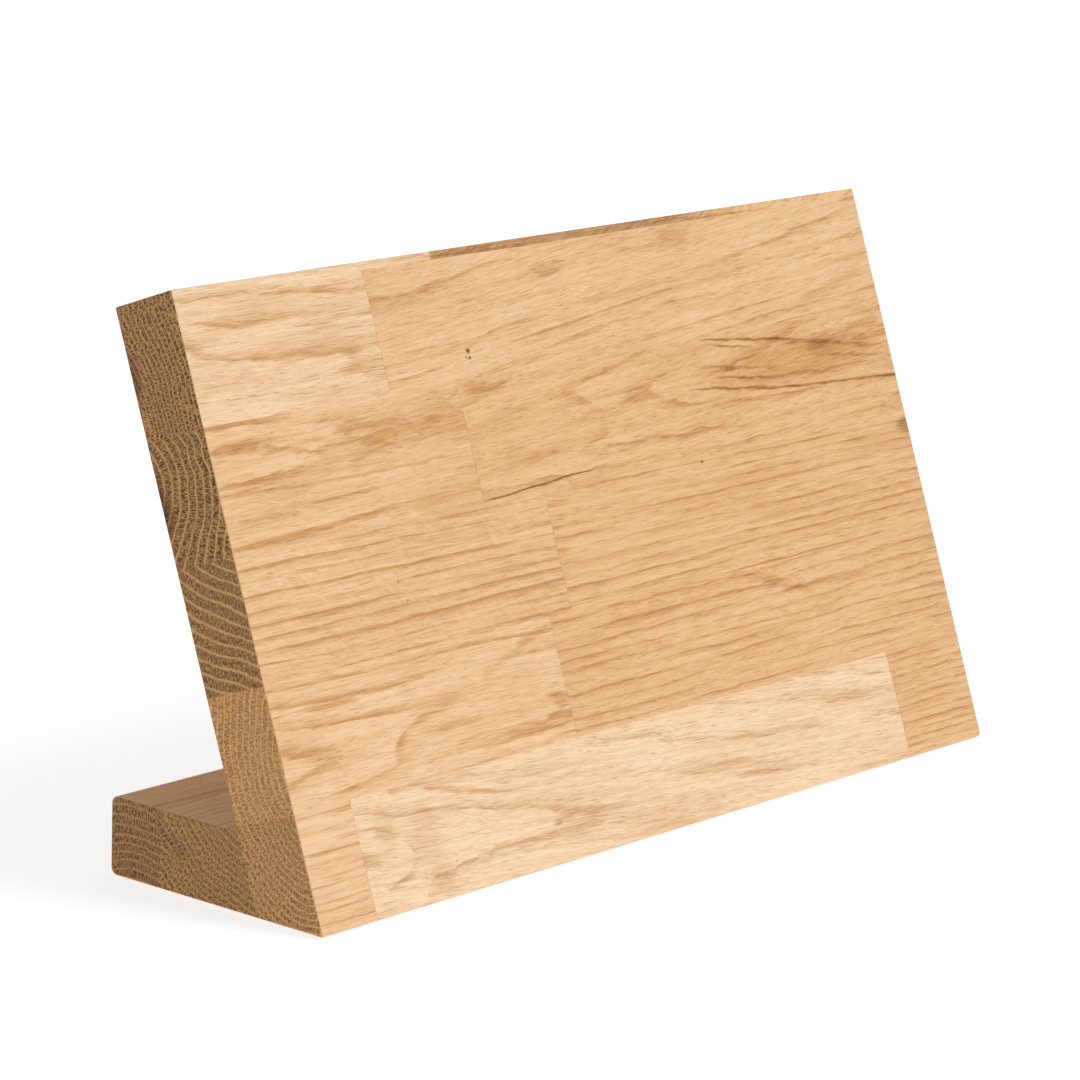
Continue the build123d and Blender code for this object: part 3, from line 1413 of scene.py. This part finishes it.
# Each stave's oak: its pith, the gap between its rings and its tone come first.
BOARD_STAVES: dict[str, Oak] = {
    "top_strip_left": Oak((60.0, 2.0), 2.6, Tone.CREAM, seed=1.0),
    "top_strip_right": Oak(
        (60.0, -6.0),
        2.2,
        Tone.TAN,
        seed=2.0,
        cross_figure=2.2,
        marks=(Streak((100.0, 1.7), (330.0, 1.7), 14.0, 0.95, 1.0, STRIP_STAIN),),
    ),
    "board_stave_1_left": Oak(
        (115.0, 45.0),
        2.3,
        Tone.PALE,
        dive=1.2,
        wander=1.6,
        seed=3.0,
        contrast=1.3,
        swells=(Swell((-5.0, 42.0), 56.0, 12.0, 2.6),),
        end_marks=(Knot((30.5, 26.0), 12.0, 1.4, 0.5, BACK_STAIN),),
    ),
    "board_stave_1_right": Oak(
        (70.0, 14.0),
        3.2,
        Tone.WARM,
        rise=-4.0,
        dive=1.5,
        seed=4.0,
        swells=(Swell((195.0, 14.0), 60.0, 9.0, 2.2),),
        marks=(
            Knot((144.4, 39.2), 1.3, 1.0, 1.3, DARK_STAIN),
            Knot((144.6, 41.9), 0.9, 1.0, stain=DARK_STAIN),
            Knot((142.7, 41.4), 0.8, 0.8),
            Streak((345.0, 42.0), (400.0, 33.0), 3.0, 0.6, stain=FAINT_STAIN),
            Knot((276.0, 8.0), 6.0, 0.6, 2.5, FAINT_STAIN),
        ),
    ),
    "board_stave_2_left": Oak(
        (53.0, 65.0),
        4.2,
        Tone.WARM,
        dive=1.5,
        contrast=1.5,
        seed=5.0,
        swells=(Swell((150.0, 62.0), 60.0, 18.0, -1.0), Swell((20.0, 60.0), 40.0, 6.0, 2.0)),
        marks=(
            Knot((18.0, 60.0), 2.4, 1.0, 4.5, FAINT_STAIN),
            Streak((108.0, 66.5), (146.0, 47.0), 3.0, 0.4, 3.0, FAINT_STAIN),
            Streak((25.0, 60.0), (62.0, 67.5), 1.6, 0.9, stain=FAINT_STAIN),
            Streak((-5.0, 75.0), (70.0, 77.5), 1.3, 0.8, stain=FAINT_STAIN),
            Streak((55.0, 77.0), (140.0, 76.5), 1.2, 0.8, stain=FAINT_STAIN),
        ),
        end_marks=(Knot((31.0, 75.0), 12.0, 1.5, 0.6, DEEP_BACK_STAIN),),
    ),
    "board_stave_2_right": Oak(
        (-60.0, 70.0),
        3.0,
        Tone.TAN,
        rise=3.0,
        dive=-1.5,
        seed=6.0,
        swells=(Swell((190.0, 72.0), 45.0, 12.0, 2.4),),
        marks=(
            Streak((276.0, 50.3), (345.0, 58.0), 0.9, 1.0, 1.3),
            Streak((284.0, 53.5), (312.0, 57.5), 0.7, 0.8, 0.9),
            Streak((318.0, 55.0), (400.0, 67.0), 1.4, 0.6, 2.2),
            Streak((345.0, 64.5), (410.0, 72.5), 1.2, 0.5, 2.4),
            Streak((262.0, 69.0), (352.0, 78.5), 0.9, 0.95, 1.5),
            Streak((318.0, 75.6), (430.0, 80.8), 1.0, 0.85, 1.2),
            Streak((270.0, 61.0), (330.0, 68.0), 1.2, 0.55, 2.4),
            Streak((282.0, 66.5), (322.0, 71.0), 0.7, 0.7, 1.8),
            Knot((340.0, 65.0), 12.0, 0.9, 6.0, GOLD_STAIN),
            Knot((354.0, 61.0), 4.5, 0.8, 3.0, TAWNY_STAIN),
            Knot((145.0, 53.0), 3.5, 0.8, 3.0, FAINT_STAIN),
            Streak((130.0, 96.3), (214.0, 91.3), 0.6, 0.95, 1.0, DARK_STAIN),
            Knot((134.0, 92.3), 0.8, 1.0, 0.7),
        ),
    ),
    "board_stave_3_left": Oak(
        (-46.0, 10.0),
        4.5,
        Tone.WARM,
        wander=1.8,
        contrast=1.5,
        cross_figure=0.5,
        seed=7.0,
        end_pores=0.85,
        marks=(Knot((79.0, 118.0), 0.8, 0.6, 1.3), Knot((81.5, 125.5), 0.8, 0.6, 1.3)),
    ),
    "board_stave_3_right": Oak(
        (-20.0, 30.0),
        4.4,
        Tone.TAN,
        wander=1.8,
        contrast=1.3,
        seed=8.0,
        marks=(Knot((400.0, 101.0), 6.0, 0.6, 1.8), Knot((263.5, 98.3), 0.8, 0.9, 1.6)),
    ),
    "board_stave_4_left": Oak(
        (-34.0, 172.0),
        3.1,
        Tone.HONEY,
        dive=1.2,
        wander=1.4,
        seed=9.0,
        contrast=1.5,
        end_shade=1.42,
        end_lines=0.42,
        end_pores=0.6,
        swells=(Swell((118.0, 176.0), 84.0, 12.5, 3.6),),
        marks=(
            Knot((30.0, 155.5), 2.2, 0.9, 9.0, FAINT_STAIN),
            Streak((108.0, 160.0), (148.0, 147.5), 3.0, 0.5, 3.0, FAINT_STAIN),
            Streak((132.0, 151.5), (170.0, 142.0), 3.0, 0.6, 2.0, FAINT_STAIN),
            Knot((90.0, 173.5), 2.5, 0.7, 8.0, FAINT_STAIN),
        ),
    ),
    "board_stave_4_right": Oak(
        (50.0, 110.0),
        3.4,
        Tone.TAN,
        rise=1.0,
        seed=10.0,
        contrast=1.1,
        marks=(
            Streak((262.0, 142.0), (296.0, 153.0), 3.6, 0.5, 4.0, FAINT_STAIN),
            Streak((280.0, 148.5), (316.0, 159.0), 3.6, 0.6, 4.0, FAINT_STAIN),
            Streak((292.0, 155.5), (360.0, 157.0), 2.2, 0.6, 2.0, FAINT_STAIN),
            Knot((205.0, 152.0), 2.5, 0.6, 14.0, FAINT_STAIN),
        ),
    ),
    "board_stave_5_left": Oak(
        (-15.0, 185.0),
        2.7,
        Tone.HONEY,
        contrast=1.4,
        seed=11.0,
        end_shade=1.28,
        end_lines=0.55,
        end_pores=0.75,
    ),
    "board_stave_5_middle": Oak(
        (80.0, 215.0),
        3.4,
        Tone.CREAM,
        rise=4.0,
        dive=1.5,
        seed=12.0,
        contrast=0.8,
        swells=(Swell((20.0, 220.0), 46.0, 30.0, -3.4),),
        marks=(
            Knot((133.5, 219.0), 1.8, 0.7, 1.8, RUSSET_STAIN),
            Streak((62.0, 192.0), (125.0, 206.0), 1.6, 0.9, stain=FAINT_STAIN),
            Knot((43.0, 203.0), 11.0, 0.32, 0.7, FAINT_STAIN),
            Knot((64.0, 208.0), 13.0, 0.32, 0.8, FAINT_STAIN),
            Knot((66.0, 226.0), 10.0, 0.4, 1.2, FAINT_STAIN),
        ),
    ),
    "board_stave_5_right": Oak((40.0, 140.0), 2.8, Tone.TAN, seed=13.0, contrast=1.1),
    "groove_cover_upper": Oak((80.0, 60.0), 2.8, Tone.WARM, seed=14.0),
    "groove_cover_lower": Oak((-40.0, 160.0), 3.2, Tone.TAN, seed=15.0),
}
FOOT_STAVES: dict[str, Oak] = {
    "foot_front_left": Oak(
        (-10.0, -45.0),
        2.6,
        Tone.WARM,
        seed=21.0,
        end_shade=1.05,
        end_lines=0.5,
        end_pores=0.85,
        end_marks=(Streak((34.0, 16.0), (64.0, 1.0), 4.5, 0.75, 0.5, FOOT_STAIN),),
    ),
    "foot_front_right": Oak((60.0, 90.0), 2.9, Tone.WARM, seed=22.0),
    "foot_rear_left": Oak(
        (62.0, 150.0),
        3.4,
        Tone.TAN,
        contrast=1.4,
        seed=23.0,
        end_shade=0.92,
        end_lines=0.5,
    ),
    "foot_rear_right": Oak((90.0, -60.0), 3.0, Tone.TAN, seed=24.0),
}


def main() -> None:
    """Builds the rack's looks and the studio around it."""
    logging.basicConfig(level=logging.INFO, format="%(message)s")
    pieces = GluedPanel(board_edge(), BOARD_STAVES).dress()
    pieces += GluedPanel(foot_edge(), FOOT_STAVES).dress()
    pieces += MagnetRow("upper").build()
    pieces += MagnetRow("lower").build()
    pieces += FootDowels().build()
    pieces += Pads().build()
    for piece in pieces:
        LOG.info("%s: %d faces", piece.name, len(piece.data.polygons))
    Studio().build()


if __name__ == "__main__":
    main()
